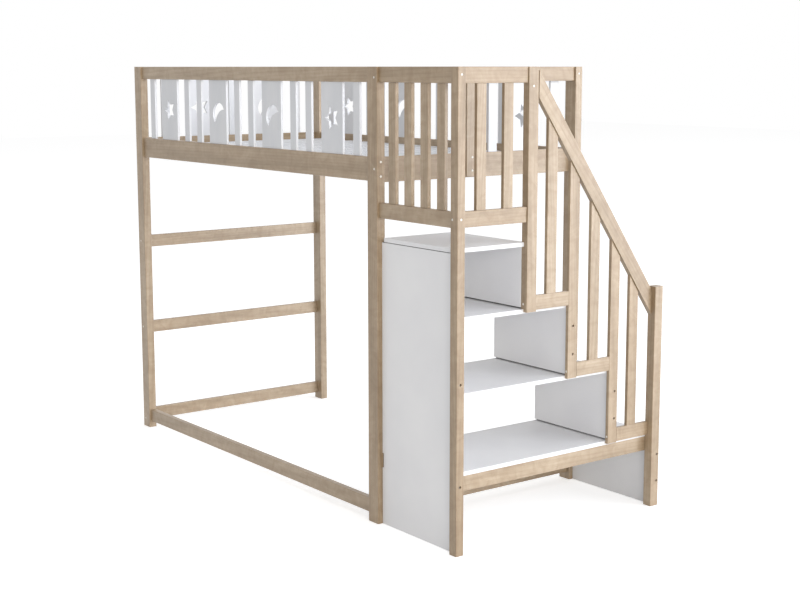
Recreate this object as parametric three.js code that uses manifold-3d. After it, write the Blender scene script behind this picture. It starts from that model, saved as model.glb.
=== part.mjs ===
// A loft bed with storage stairs, for a mattress about 1905 long and 991 wide.
//
// Millimetres, +Z up. +X runs along the bed to the stairs, and +Y from the front long side to the
// back one. Places are measured from the outer corner of the front left post, on the floor, and the
// last group moves the origin to the floor under the middle of the whole object.

import * as THREE from "three";
import { mergeVertices } from "three/addons/utils/BufferGeometryUtils.js";
import Module from "manifold-3d";

const wasm = await Module();
wasm.setup();

// Fits
const fitGap = 0.3; // left between two pieces that meet
const joinOverlap = 1; // how far the parts of one piece run into each other
const easedEdge = 2; // radius on the long edges of rails and posts

// The bed as a whole
const bedLength = 1990; // over the bed posts
const bedWidth = 1060; // over the bed posts
const totalHeight = 1770;

// Bed posts and the two posts at the outside of the stairs
const bedPost = { along: 63, across: 37 };
const frontStairPost = { along: 40, across: 35 };
const backStairPost = { along: 40, across: 43, height: 904 };
const stairInside = 442; // from the bed posts to the outer side of the stairs

// Rails of the bed
const railHeight = 58;
const bedRailHeight = 92; // the rails beside the mattress
const guardHeight = 281; // clear height between a bed rail and the top rail over it
const sideRail = { thickness: 25, recess: 10 };
const endRail = { thickness: 20, recess: 7 };
const floorRailBottom = 31;
const lowerRungBottom = 470;
const upperRungBottom = 896;

// The end of the bed above the stairs
const entryWidth = 407; // from the front bed post to the guard post
const guardPostWidth = 61;
const outerLayer = 22; // thickness of the guard post and the top rail beside it
const rightBedRail = { setback: 30, thickness: 20, height: 97 };
const rightFloorRail = { setback: 16, thickness: 20 };
const guardBattenHeight = 45;

// White slats of the guards, and how they are held in the top rail. The lead is how far the face
// towards the front, or towards the stairs, stands from the middle of the groove.
const whiteSlat = { thickness: 11, lead: 7.5 };
const narrowSlat = 44;
const wideSlat = 150;
const groove = { width: 7, depth: 12 };
const tongue = { thickness: 6, stripHeight: 5 };

// Cut-outs in the wide slats
const starPoints = 5;
const starRadius = 51;
const starInnerShare = 0.5; // radius of the inner corners, of starRadius
const starTurn = Math.PI; // one point lies level
const moonRadius = 50;
const moonInnerRadius = 80;
const moonThickness = 45;
const moonTurn = Math.atan2(0.78, -0.63); // the way that the round back of the crescent faces
const moonShift = { across: 8, up: -9 };

// Slatted base under the mattress
const baseDrop = 31; // from the top of the bed rails to the top of the base
const baseSlat = { count: 14, width: 70, thickness: 18 };
const baseEndGap = 5;
const baseSideGap = 5;
const baseTape = { width: 30, thickness: 3, inset: 150 };
const ledger = { width: 30, height: 40 };

// Boards of the stairs
const boardThickness = 16;
const boardSetback = 13; // from the bed posts to the inner edge of the boards
const panelRecess = 22; // of the front panel, behind the face of the posts
const backPanelRecess = 2;
const platformTop = 1127;
const topTreadTop = 876;
const middleTreadTop = 594;
const bottomTreadTop = 301;
const riserRebate = { depth: 4, height: 3.5 }; // along the foot, on the shelf side

// Guard round the platform
const platformRailBottom = 1202;
const birchSlat = { width: 44, thickness: 15 };
const platformFrontSlats = 4;
const platformSideSlatShares = [0.31, 0.715]; // of the clear length between post and newel
const sideGuardRail = { thickness: 20, setIn: 7 };

// Newels, handrail and balusters
const newelWidth = 48; // of the balusters too
const newelPitch = 225; // the risers follow it
const pitchChange = { topNewel: -8.5, riser: 3, bottomRiser: -12 }; // added to the newel pitch
const topNewel = { thickness: 32, setIn: 14, lip: 11 };
const sideLayer = 15; // thickness of the lower newels, the balusters and the short rails
const newelFootLap = 9; // below the top of the tread
const handrail = { width: 58, thickness: 20, dropAtTop: 12.5, dropAtFoot: 14 };
const shortRail = { height: 55, lap: 5 };
const balusterLeads = { top: 91, middle: 88, bottom: 96 }; // from its middle to the next newel
const lowBeam = { height: 58, thickness: 16 };
const innerBeam = { height: 58, thickness: 11, setIn: 5 };

// Places that follow from the sizes above
const rightPostX = bedLength - bedPost.along;
const backPostY = bedWidth - bedPost.across;
const stairPlane = bedLength + stairInside;
const totalLength = stairPlane + frontStairPost.along;
const topRailBottom = totalHeight - railHeight;
const bedRailTop = topRailBottom - guardHeight;
const bedRailBottom = bedRailTop - bedRailHeight;
const backRailY = backPostY + sideRail.recess;
const boardStart = bedLength + boardSetback;
const boardEnd = stairPlane - fitGap;
const shelfStart = panelRecess + boardThickness + fitGap;
const backPostFront = bedWidth - backStairPost.across;
const bottomNewelY = backPostFront - newelPitch;
const middleNewelY = bottomNewelY - newelPitch;
const topNewelY = middleNewelY - newelPitch - pitchChange.topNewel;
const topNewelInside = stairPlane - topNewel.setIn;
const bottomRiserY = backPostFront - newelPitch - pitchChange.bottomRiser;
const riserPitch = newelPitch + pitchChange.riser;
const guardPostY = bedPost.across + entryWidth;
const guardPostEnd = guardPostY + guardPostWidth;
const rightLayerX = bedLength - rightBedRail.setback; // inner side of the outer layer

// The handrail falls in a straight line from the top newel to the back stair post
const handrailStart = { y: topNewelY + newelWidth, z: totalHeight - handrail.dropAtTop };
const handrailEnd = { y: backPostFront, z: backStairPost.height - handrail.dropAtFoot };
const handrailSlope = (handrailEnd.z - handrailStart.z) / (handrailEnd.y - handrailStart.y);
const slantFactor = Math.hypot(1, handrailSlope); // from square across the rail to upright

const birch = new THREE.MeshStandardMaterial({ color: 0xb3a28b, roughness: 0.55, metalness: 0 });
const white = new THREE.MeshStandardMaterial({ color: 0xebecf0, roughness: 0.45, metalness: 0 });

const bed = new THREE.Group();
bed.position.set(-totalLength / 2, -bedWidth / 2, 0);

// An outline is drawn in two of the three directions and stretched along the third.
// x: drawn in Y and Z, stretched to +X. y: drawn in X and Z, stretched to -Y. z: drawn in X and Y.
const stretchTurns = {
  x: new THREE.Euler(Math.PI / 2, 0, Math.PI / 2, "ZYX"),
  y: new THREE.Euler(Math.PI / 2, 0, 0, "XYZ"),
  z: new THREE.Euler(0, 0, 0, "XYZ"),
};

function addPiece(name, finish, geometry, direction, place) {
  const piece = new THREE.Mesh(geometry, finish);
  piece.name = name;
  piece.rotation.copy(stretchTurns[direction]);
  piece.position.set(...place);
  bed.add(piece);
}

function stretched(outline, depth) {
  return new THREE.ExtrudeGeometry(outline, { depth, bevelEnabled: false, curveSegments: 1 });
}

function polygon(points) {
  return new THREE.Shape(points.map(([across, up]) => new THREE.Vector2(across, up)));
}

function rectangle(left, bottom, right, top) {
  return polygon([[left, bottom], [right, bottom], [right, top], [left, top]]);
}

// A rectangle with round corners, from its own lower left corner
function easedRectangle(width, height) {
  const outline = new THREE.Shape();
  const right = width - easedEdge;
  const top = height - easedEdge;
  outline.absarc(right, easedEdge, easedEdge, -Math.PI / 2, 0);
  outline.absarc(right, top, easedEdge, 0, Math.PI / 2);
  outline.absarc(easedEdge, top, easedEdge, Math.PI / 2, Math.PI);
  outline.absarc(easedEdge, easedEdge, easedEdge, Math.PI, 1.5 * Math.PI);
  return outline;
}

// The same rectangle with a groove in the middle of its underside
function groovedRectangle(width, height) {
  const outline = new THREE.Shape();
  const right = width - easedEdge;
  const top = height - easedEdge;
  const grooveLeft = (width - groove.width) / 2;
  const grooveRight = (width + groove.width) / 2;
  outline.moveTo(grooveRight, groove.depth);
  outline.lineTo(grooveRight, 0);
  outline.absarc(right, easedEdge, easedEdge, -Math.PI / 2, 0);
  outline.absarc(right, top, easedEdge, 0, Math.PI / 2);
  outline.absarc(easedEdge, top, easedEdge, Math.PI / 2, Math.PI);
  outline.absarc(easedEdge, easedEdge, easedEdge, Math.PI, 1.5 * Math.PI);
  outline.lineTo(grooveLeft, 0);
  outline.lineTo(grooveLeft, groove.depth);
  return outline;
}

// A straight piece with eased long edges. It fills the box from low to high, which are corners.
function addBar(name, finish, direction, low, high, section = easedRectangle) {
  const size = high.map((value, axis) => value - low[axis]);
  if (direction === "x") {
    addPiece(name, finish, stretched(section(size[1], size[2]), size[0]), "x", low);
  } else if (direction === "y") {
    const place = [low[0], high[1], low[2]];
    addPiece(name, finish, stretched(section(size[0], size[2]), size[1]), "y", place);
  } else {
    addPiece(name, finish, stretched(section(size[0], size[1]), size[2]), "z", low);
  }
}

// A board with square edges, which fills the box from low to high
function addBoard(name, low, high) {
  const outline = rectangle(low[1], low[2], high[1], high[2]);
  addPiece(name, white, stretched(outline, high[0] - low[0]), "x", [low[0], 0, 0]);
}

function solidOf(geometry) {
  geometry.deleteAttribute("normal");
  geometry.deleteAttribute("uv");
  const merged = mergeVertices(geometry);
  const vertProperties = new Float32Array(merged.attributes.position.array);
  const triVerts = new Uint32Array(merged.index.array);
  return new wasm.Manifold(new wasm.Mesh({ numProp: 3, vertProperties, triVerts }));
}

function geometryOf(solid) {
  const { vertProperties, triVerts } = solid.getMesh();
  const geometry = new THREE.BufferGeometry();
  geometry.setAttribute("position", new THREE.BufferAttribute(vertProperties, 3));
  geometry.setIndex(new THREE.BufferAttribute(triVerts, 1));
  geometry.computeVertexNormals();
  return geometry;
}

// A box as a solid that other solids can be joined to
function blockSolid(low, high) {
  const geometry = stretched(rectangle(low[0], low[1], high[0], high[1]), high[2] - low[2]);
  geometry.translate(0, 0, low[2]);
  return solidOf(geometry);
}

// A five-pointed star with one point to the left
function starOutline(centreX, centreZ) {
  const points = [];
  for (let corner = 0; corner < 2 * starPoints; corner += 1) {
    const radius = corner % 2 === 0 ? starRadius : starRadius * starInnerShare;
    const angle = starTurn + (corner * Math.PI) / starPoints;
    const x = centreX + radius * Math.cos(angle);
    const z = centreZ + radius * Math.sin(angle);
    points.push(new THREE.Vector2(x, z));
  }
  return new THREE.Path(points).closePath();
}

// A crescent between two arcs. The inner circle's middle lies behind the outer one's.
function moonOutline(slatCentreX, slatCentreZ) {
  const x = slatCentreX + moonShift.across;
  const z = slatCentreZ + moonShift.up;
  const innerAlong = moonRadius - moonThickness - moonInnerRadius;
  const radiusTerm = moonRadius ** 2 - moonInnerRadius ** 2 + innerAlong ** 2;
  const tipAlong = radiusTerm / (2 * innerAlong);
  const tipAcross = Math.sqrt(moonRadius ** 2 - tipAlong ** 2);
  const outerHalf = Math.acos(tipAlong / moonRadius);
  const innerHalf = Math.asin(tipAcross / moonInnerRadius);
  const innerX = x + innerAlong * Math.cos(moonTurn);
  const innerZ = z + innerAlong * Math.sin(moonTurn);
  const outline = new THREE.Path();
  outline.absarc(x, z, moonRadius, moonTurn - outerHalf, moonTurn + outerHalf, false);
  outline.absarc(innerX, innerZ, moonInnerRadius, moonTurn + innerHalf, moonTurn - innerHalf, true);
  return outline.closePath();
}

const cutOuts = { star: starOutline, moon: moonOutline };

// The slats of one guard, side by side with even gaps over a clear length. Each entry of the
// pattern is narrow, or names the cut-out of a wide slat.
function guardSlats(pattern, clearLength, height) {
  const widths = pattern.map((kind) => (kind === "narrow" ? narrowSlat : wideSlat));
  const slatsTotal = widths.reduce((total, width) => total + width, 0);
  const gap = (clearLength - slatsTotal) / (pattern.length + 1);
  let left = gap;
  return pattern.map((kind, index) => {
    const slat = { kind, left, right: left + widths[index], height };
    left = slat.right + gap;
    return slat;
  });
}

function slatSolid(slat) {
  const outline = rectangle(slat.left, 0, slat.right, slat.height);
  if (slat.kind !== "narrow") {
    const middle = (slat.left + slat.right) / 2;
    outline.holes.push(cutOuts[slat.kind](middle, slat.height / 2));
  }
  const shape = new THREE.ExtrudeGeometry(outline, {
    depth: whiteSlat.thickness,
    bevelEnabled: false,
    curveSegments: 8,
  });
  return solidOf(shape);
}

// Slats whose tongues stand in the groove of the top rail, on a thin strip that lies in it
function slatsWithTongues(pattern, clearLength) {
  const height = guardHeight - 2 * fitGap;
  const slats = guardSlats(pattern, clearLength, height);
  const stripTop = height + groove.depth;
  const stripBottom = stripTop - tongue.stripHeight;
  const tongueFront = whiteSlat.thickness - whiteSlat.lead - tongue.thickness / 2;
  const tongueBack = tongueFront + tongue.thickness;
  const stripStart = [slats[0].left, stripBottom, tongueFront];
  const stripEnd = [slats[slats.length - 1].right, stripTop, tongueBack];
  let joined = blockSolid(stripStart, stripEnd);
  for (const slat of slats) {
    const low = [slat.left, height - joinOverlap, tongueFront];
    const high = [slat.right, stripBottom + joinOverlap, tongueBack];
    joined = joined.add(slatSolid(slat)).add(blockSolid(low, high));
  }
  return geometryOf(joined);
}

// Slats that hang from a batten of their own thickness, which runs a little past them
function slatsOnBatten(pattern, clearLength, battenLead) {
  const height = guardHeight - fitGap;
  const slats = guardSlats(pattern, clearLength, height);
  const low = [-battenLead, height - joinOverlap, 0];
  const high = [clearLength - fitGap, height + guardBattenHeight, whiteSlat.thickness];
  let joined = blockSolid(low, high);
  for (const slat of slats) {
    joined = joined.add(slatSolid(slat));
  }
  return geometryOf(joined);
}

function addPosts() {
  const bedPosts = [
    ["post_front_left", 0, 0],
    ["post_front_right", rightPostX, 0],
    ["post_back_left", 0, backPostY],
    ["post_back_right", rightPostX, backPostY],
  ];
  for (const [name, x, y] of bedPosts) {
    addBar(name, birch, "z", [x, y, 0], [x + bedPost.along, y + bedPost.across, totalHeight]);
  }
  const frontTop = [totalLength, frontStairPost.across, totalHeight];
  addBar("stair_post_front", birch, "z", [stairPlane, 0, 0], frontTop);
  const backTop = [stairPlane + backStairPost.along, bedWidth, backStairPost.height];
  addBar("stair_post_back", birch, "z", [stairPlane, backPostFront, 0], backTop);
}

// A rail of a long side, between the bed posts
function addSideRail(name, y, bottom, top, section) {
  const low = [bedPost.along + fitGap, y, bottom];
  const high = [rightPostX - fitGap, y + sideRail.thickness, top];
  addBar(name, birch, "x", low, high, section);
}

function addSideRails() {
  const frontY = sideRail.recess;
  addSideRail("rail_front_top", frontY, topRailBottom, totalHeight, groovedRectangle);
  addSideRail("rail_front_bed", frontY, bedRailBottom, bedRailTop);
  addSideRail("rail_front_floor", frontY, floorRailBottom, floorRailBottom + railHeight);
  addSideRail("rail_back_top", backRailY, topRailBottom, totalHeight, groovedRectangle);
  addSideRail("rail_back_bed", backRailY, bedRailBottom, bedRailTop);
}

// A rail of an end, between a front and a back post
function addEndRail(name, x, thickness, bottom, top, section) {
  const low = [x, bedPost.across + fitGap, bottom];
  const high = [x + thickness, backPostY - fitGap, top];
  addBar(name, birch, "y", low, high, section);
}

function addLeftEndRails() {
  const { recess, thickness } = endRail;
  const addRail = (name, bottom, height, section) =>
    addEndRail(name, recess, thickness, bottom, bottom + height, section);
  addRail("rail_left_top", topRailBottom, railHeight, groovedRectangle);
  addRail("rail_left_bed", bedRailBottom, bedRailHeight);
  addRail("rung_left_upper", upperRungBottom, railHeight);
  addRail("rung_left_lower", lowerRungBottom, railHeight);
  addRail("rail_left_floor", floorRailBottom, railHeight);
}

function addRightEnd() {
  const bedRailX = rightLayerX - rightBedRail.thickness;
  const bedRailLow = bedRailTop - rightBedRail.height;
  addEndRail("rail_right_bed", bedRailX, rightBedRail.thickness, bedRailLow, bedRailTop);
  const floorX = bedLength - rightFloorRail.setback - rightFloorRail.thickness;
  const floorTop = floorRailBottom + railHeight;
  addEndRail("rail_right_floor", floorX, rightFloorRail.thickness, floorRailBottom, floorTop);
  const layerIn = rightLayerX + fitGap;
  const layerOut = layerIn + outerLayer;
  const postLow = [layerIn, guardPostY, bedRailBottom];
  addBar("guard_post_right", birch, "z", postLow, [layerOut, guardPostEnd, totalHeight]);
  const railLow = [layerIn, guardPostEnd + fitGap, topRailBottom];
  const railHigh = [layerOut, backPostY - fitGap, totalHeight];
  addBar("rail_right_top", birch, "y", railLow, railHigh);
}

function addGuardSlats() {
  const group = ["narrow", "star", "narrow", "narrow", "moon", "narrow"];
  const longPattern = [...group, ...group.toReversed()];
  const longClear = rightPostX - bedPost.along;
  const bottom = bedRailTop + fitGap;
  const sideBack = sideRail.thickness / 2 + whiteSlat.thickness - whiteSlat.lead;
  const longGuards = [
    ["guard_front_slats", sideRail.recess],
    ["guard_back_slats", backRailY],
  ];
  for (const [name, railY] of longGuards) {
    const place = [bedPost.along, railY + sideBack, bottom];
    addPiece(name, white, slatsWithTongues(longPattern, longClear), "y", place);
  }
  const endPattern = ["narrow", "star", "narrow", "moon", "narrow"];
  const endClear = backPostY - bedPost.across;
  const endX = endRail.recess + endRail.thickness / 2 + whiteSlat.lead - whiteSlat.thickness;
  const leftPlace = [endX, bedPost.across, bottom];
  addPiece("guard_left_slats", white, slatsWithTongues(endPattern, endClear), "x", leftPlace);
  const rightClear = backPostY - guardPostEnd;
  const rightSlats = slatsOnBatten(["narrow", "star", "narrow"], rightClear, guardPostWidth);
  const rightPlace = [rightLayerX - whiteSlat.thickness, guardPostEnd, bottom];
  addPiece("guard_right_slats", white, rightSlats, "x", rightPlace);
}

// Slats across the bed, held at even steps by two tapes that are let into their undersides. The
// undersides of the slats are at height zero.
function baseGeometry(length, slatLength) {
  const pitch = (length - baseSlat.width) / (baseSlat.count - 1);
  const tapeBottom = joinOverlap - baseTape.thickness;
  const tapeY = [baseTape.inset, slatLength - baseTape.inset - baseTape.width];
  const [frontTape, backTape] = tapeY.map((y) =>
    blockSolid([0, y, tapeBottom], [length, y + baseTape.width, joinOverlap]),
  );
  let joined = frontTape.add(backTape);
  for (let index = 0; index < baseSlat.count; index += 1) {
    const x = index * pitch;
    joined = joined.add(blockSolid([x, 0, 0], [x + baseSlat.width, slatLength, baseSlat.thickness]));
  }
  return geometryOf(joined);
}

function addSlattedBase() {
  const slatBottom = bedRailTop - baseDrop - baseSlat.thickness;
  const innerFront = sideRail.recess + sideRail.thickness;
  const length = rightPostX - bedPost.along - 2 * baseEndGap;
  const slatLength = backRailY - innerFront - 2 * baseSideGap;
  const place = [bedPost.along + baseEndGap, innerFront + baseSideGap, slatBottom];
  addPiece("slatted_base", white, baseGeometry(length, slatLength), "z", place);
  const ledgerTop = slatBottom - fitGap;
  const ledgerPlaces = [
    ["ledger_front", innerFront + fitGap],
    ["ledger_back", backRailY - fitGap - ledger.width],
  ];
  for (const [name, y] of ledgerPlaces) {
    const low = [bedPost.along + fitGap, y, ledgerTop - ledger.height];
    addBar(name, birch, "x", low, [rightPostX - fitGap, y + ledger.width, ledgerTop]);
  }
}

// Boards of the stairs: each tread runs forward under the steps above it as a shelf. The front
// panel has a notch at its inner edge, in which the end of the inner beam shows, and the platform
// has one at its back corner, round the top newel.
function addStairBoards() {
  const panelStart = bedLength + fitGap;
  const underside = (top) => top - boardThickness;
  const backY = bedWidth - backPanelRecess;
  const panelTop = underside(platformTop) - fitGap;
  const panelBack = panelRecess + boardThickness;
  const beamEnd = panelStart + innerBeam.thickness + fitGap;
  const beamTop = underside(bottomTreadTop);
  const beamBottom = beamTop - innerBeam.height - 2 * fitGap;
  const panelOutline = polygon([
    [panelStart, 0],
    [boardEnd, 0],
    [boardEnd, panelTop],
    [panelStart, panelTop],
    [panelStart, beamTop],
    [beamEnd, beamTop],
    [beamEnd, beamBottom],
    [panelStart, beamBottom],
  ]);
  const panelShape = stretched(panelOutline, boardThickness);
  addPiece("front_panel", white, panelShape, "y", [0, panelBack, 0]);
  const backPanelTop = beamTop - fitGap;
  addBoard("back_panel", [panelStart, backY - boardThickness, 0], [boardEnd, backY, backPanelTop]);

  const addLevel = (name, frontY, edgeY, top) =>
    addBoard(name, [boardStart, frontY, underside(top)], [boardEnd, edgeY, top]);
  const bottomEdge = bottomRiserY + boardThickness;
  const middleEdge = bottomEdge - riserPitch;
  const platformEdge = middleEdge - riserPitch;
  const besideNewel = topNewelInside - fitGap;
  const platformOutline = polygon([
    [boardStart, panelRecess],
    [boardEnd, panelRecess],
    [boardEnd, topNewelY - fitGap],
    [besideNewel, topNewelY - fitGap],
    [besideNewel, platformEdge],
    [boardStart, platformEdge],
  ]);
  const platformShape = stretched(platformOutline, boardThickness);
  addPiece("platform_board", white, platformShape, "z", [0, 0, underside(platformTop)]);
  addLevel("tread_top", shelfStart, middleEdge, topTreadTop);
  addLevel("tread_middle", shelfStart, bottomEdge, middleTreadTop);
  addLevel("tread_bottom", shelfStart, backY, bottomTreadTop);

  addRiser("riser_top", besideNewel, platformEdge, topTreadTop, underside(platformTop));
  addRiser("riser_middle", boardEnd, middleEdge, middleTreadTop, underside(topTreadTop));
  addRiser("riser_bottom", boardEnd, bottomEdge, bottomTreadTop, underside(middleTreadTop));
}

// A riser stands on the tread below and carries the edge of the board above
function addRiser(name, endX, edgeY, below, above) {
  const front = edgeY - boardThickness;
  const foot = below + fitGap;
  const head = above - fitGap;
  const outline = polygon([
    [front + riserRebate.depth, foot],
    [edgeY, foot],
    [edgeY, head],
    [front, head],
    [front, foot + riserRebate.height],
    [front + riserRebate.depth, foot + riserRebate.height],
  ]);
  addPiece(name, white, stretched(outline, endX - boardStart), "x", [boardStart, 0, 0]);
}

// Two beams carry the sides of the bottom tread: one of wood at the open side, and a thin white
// one at the bed, whose end is set in behind the face of the front panel
function addLowBeams() {
  const top = bottomTreadTop - boardThickness - fitGap;
  const backFace = bedWidth - backPanelRecess - boardThickness - fitGap;
  const outerLow = [boardEnd - lowBeam.thickness, shelfStart, top - lowBeam.height];
  addBar("stair_low_beam", birch, "y", outerLow, [boardEnd, backFace, top]);
  const innerLow = [bedLength + fitGap, panelRecess + innerBeam.setIn, top - innerBeam.height];
  addBoard("stair_inner_beam", innerLow, [innerLow[0] + innerBeam.thickness, backFace, top]);
}

function addPlatformGuard() {
  const levels = [["top", topRailBottom], ["low", platformRailBottom]];
  const slatLow = platformRailBottom + railHeight + fitGap;
  const slatHigh = topRailBottom - fitGap;

  const frontStart = bedLength + fitGap;
  const frontBack = sideRail.recess + sideRail.thickness;
  for (const [level, bottom] of levels) {
    const low = [frontStart, sideRail.recess, bottom];
    const high = [stairPlane - fitGap, frontBack, bottom + railHeight];
    addBar(`platform_front_rail_${level}`, birch, "x", low, high);
  }
  const frontGap = (stairInside - platformFrontSlats * birchSlat.width) / (platformFrontSlats + 1);
  const slatY = sideRail.recess + (sideRail.thickness - birchSlat.thickness) / 2;
  for (let index = 0; index < platformFrontSlats; index += 1) {
    const x = bedLength + frontGap + index * (birchSlat.width + frontGap);
    const high = [x + birchSlat.width, slatY + birchSlat.thickness, slatHigh];
    addBar(`platform_front_slat_${index + 1}`, birch, "z", [x, slatY, slatLow], high);
  }

  const sideX = stairPlane - sideGuardRail.setIn;
  const sideStart = frontStairPost.across;
  for (const [level, bottom] of levels) {
    const low = [sideX, sideStart + fitGap, bottom];
    const high = [sideX + sideGuardRail.thickness, topNewelY - fitGap, bottom + railHeight];
    addBar(`platform_side_rail_${level}`, birch, "y", low, high);
  }
  const slatX = sideX + (sideGuardRail.thickness - birchSlat.thickness) / 2;
  platformSideSlatShares.forEach((share, index) => {
    const y = sideStart + share * (topNewelY - sideStart) - birchSlat.width / 2;
    const high = [slatX + birchSlat.thickness, y + birchSlat.width, slatHigh];
    addBar(`platform_side_slat_${index + 1}`, birch, "z", [slatX, y, slatLow], high);
  });
}

// The newel at the platform's edge. Its foot stands on the top tread and laps over the tread's end.
function addTopNewel() {
  const inner = topNewelInside;
  const outer = inner + topNewel.thickness;
  const foot = topTreadTop + fitGap;
  const outline = polygon([
    [inner, foot],
    [stairPlane, foot],
    [stairPlane, topTreadTop - topNewel.lip],
    [outer, topTreadTop - topNewel.lip],
    [outer, totalHeight],
    [inner, totalHeight],
  ]);
  const place = [0, topNewelY + newelWidth, 0];
  addPiece("newel_top", birch, stretched(outline, newelWidth), "y", place);
}

function handrailTopAt(y) {
  return handrailStart.z + handrailSlope * (y - handrailStart.y);
}

function handrailUndersideAt(y) {
  return handrailTopAt(y) - handrail.width * slantFactor;
}

function addHandrail() {
  const start = handrailStart.y + fitGap;
  const end = handrailEnd.y - fitGap;
  const outline = polygon([
    [start, handrailUndersideAt(start)],
    [end, handrailUndersideAt(end)],
    [end, handrailTopAt(end)],
    [start, handrailTopAt(start)],
  ]);
  addPiece("handrail", birch, stretched(outline, handrail.thickness), "x", [stairPlane, 0, 0]);
}

// A flat upright at the side of the stairs, cut to the slant of the handrail over it
function addSlantedUpright(name, y, bottom) {
  const back = y + newelWidth;
  const headGap = fitGap * slantFactor;
  const outline = polygon([
    [y, bottom],
    [back, bottom],
    [back, handrailUndersideAt(back) - headGap],
    [y, handrailUndersideAt(y) - headGap],
  ]);
  addPiece(name, birch, stretched(outline, sideLayer), "x", [stairPlane, 0, 0]);
}

function addStairSide() {
  addSlantedUpright("newel_middle", middleNewelY, middleTreadTop - newelFootLap);
  addSlantedUpright("newel_bottom", bottomNewelY, bottomTreadTop - newelFootLap);
  const bays = [
    ["top", topNewelY, middleNewelY, topTreadTop],
    ["middle", middleNewelY, bottomNewelY, middleTreadTop],
    ["bottom", bottomNewelY, backPostFront, bottomTreadTop],
  ];
  for (const [step, newelY, nextY, treadTop] of bays) {
    const railBottom = treadTop - shortRail.lap;
    const railTop = railBottom + shortRail.height;
    const low = [stairPlane, newelY + newelWidth + fitGap, railBottom];
    const high = [stairPlane + sideLayer, nextY - fitGap, railTop];
    addBar(`short_rail_${step}`, birch, "y", low, high);
    const balusterY = nextY - balusterLeads[step] - newelWidth / 2;
    addSlantedUpright(`baluster_${step}`, balusterY, railTop + fitGap);
  }
}

addPosts();
addSideRails();
addLeftEndRails();
addRightEnd();
addGuardSlats();
addSlattedBase();
addStairBoards();
addLowBeams();
addPlatformGuard();
addTopNewel();
addHandrail();
addStairSide();

export default bed;
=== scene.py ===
# Loft bed with storage stairs: its looks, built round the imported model.
# Metres, Z up. X runs along the bed to the stairs, and Y from the front long side to the back.

import math
import random

import bmesh
import bpy
from mathutils import Matrix, Vector


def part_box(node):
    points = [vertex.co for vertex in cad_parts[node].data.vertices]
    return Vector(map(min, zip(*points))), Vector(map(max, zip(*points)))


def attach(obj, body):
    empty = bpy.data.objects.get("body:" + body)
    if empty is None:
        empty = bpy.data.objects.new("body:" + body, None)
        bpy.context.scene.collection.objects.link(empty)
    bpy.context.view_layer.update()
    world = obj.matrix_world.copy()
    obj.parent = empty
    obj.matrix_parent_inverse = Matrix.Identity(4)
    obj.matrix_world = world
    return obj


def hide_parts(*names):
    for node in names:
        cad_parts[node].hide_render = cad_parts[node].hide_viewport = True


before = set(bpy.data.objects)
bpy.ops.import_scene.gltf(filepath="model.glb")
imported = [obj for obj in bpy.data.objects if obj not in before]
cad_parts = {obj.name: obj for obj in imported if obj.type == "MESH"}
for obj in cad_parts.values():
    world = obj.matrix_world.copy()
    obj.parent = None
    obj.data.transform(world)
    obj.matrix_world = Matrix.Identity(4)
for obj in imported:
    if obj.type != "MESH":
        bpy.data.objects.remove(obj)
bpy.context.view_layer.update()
scene = bpy.context.scene
xAxis, yAxis, zAxis = Vector((1, 0, 0)), Vector((0, 1, 0)), Vector((0, 0, 1))
print("frame loaded with", len(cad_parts), "CAD nodes")

# Camera and light

cameraValues = {
    "place": (5.1417, -3.7105, 1.7666),
    "lookDown": 0.1482,  # radians below level
    "turn": 0.9208,  # radians, from looking along +Y towards -X
    "lens": 64.68,  # mm
    "sensorWidth": 36,  # mm
    "shift": (-0.01215, -0.0224),
}

lightValues = {
    # Place, size, power and colour of each soft box, all aimed at the bed. The key and the side
    # box stand beyond the stairs, and the strip is low, for the sheen of the wood.
    "boxes": {
        "key": ((16.5, 12.0, 10.0), (18.0, 10.0), 2500, "#f4f8ff"),
        "strip": ((10.0, 8.2, 0.95), (11.0, 1.8), 580, "#f4f8ff"),
        "side": ((20.0, -7.5, 5.0), (13.0, 10.0), 1800, "#fffaf2"),
        "top": ((0.6, 0.0, 9.0), (8.0, 8.0), 150, "#f4f8ff"),
    },
    "aim": (0.6, 0.0, 0.9),
    "roomLevel": 0.565,  # even light from the whole room
    "roomColour": "#fafafa",
    "backdropColour": "#ffffff",  # seen by the camera and in reflections
    "floorColour": "#efefef",
    "floorGlow": 0.5,  # for the camera and reflections, so that the floor shows white
    "floorSize": 60,
    "floorHeight": -0.0005,  # just under the feet
}


# sRGB hex to linear colour
def linear(hexColour):
    channels = [int(hexColour[start : start + 2], 16) / 255 for start in (1, 3, 5)]
    return [c / 12.92 if c <= 0.04045 else ((c + 0.055) / 1.055) ** 2.4 for c in channels] + [1]


# A shader node with its settings, and its inputs as values or links
def addNode(tree, kind, inputs=None, **settings):
    node = tree.nodes.new(kind)
    for name, value in settings.items():
        setattr(node, name, value)
    for socket, value in (inputs or {}).items():
        if isinstance(value, bpy.types.NodeSocket):
            tree.links.new(value, node.inputs[socket])
        else:
            node.inputs[socket].default_value = value
    return node


# 1 for what the camera, a reflection or clear glass sees, 0 for light on surfaces
def seenDirectly(tree):
    path = addNode(tree, "ShaderNodeLightPath").outputs
    mirrored = {0: path["Is Glossy Ray"], 1: path["Is Transmission Ray"]}
    either = addNode(tree, "ShaderNodeMath", mirrored, operation="MAXIMUM").outputs[0]
    seen = {0: path["Is Camera Ray"], 1: either}
    return addNode(tree, "ShaderNodeMath", seen, operation="MAXIMUM").outputs[0]


def addCamera():
    data = bpy.data.cameras.new("camera")
    data.sensor_width = cameraValues["sensorWidth"]
    data.lens = cameraValues["lens"]
    data.shift_x, data.shift_y = cameraValues["shift"]
    camera = bpy.data.objects.new("camera", data)
    camera.location = cameraValues["place"]
    camera.rotation_euler = (math.pi / 2 - cameraValues["lookDown"], 0, cameraValues["turn"])
    scene.collection.objects.link(camera)
    scene.camera = camera


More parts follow.
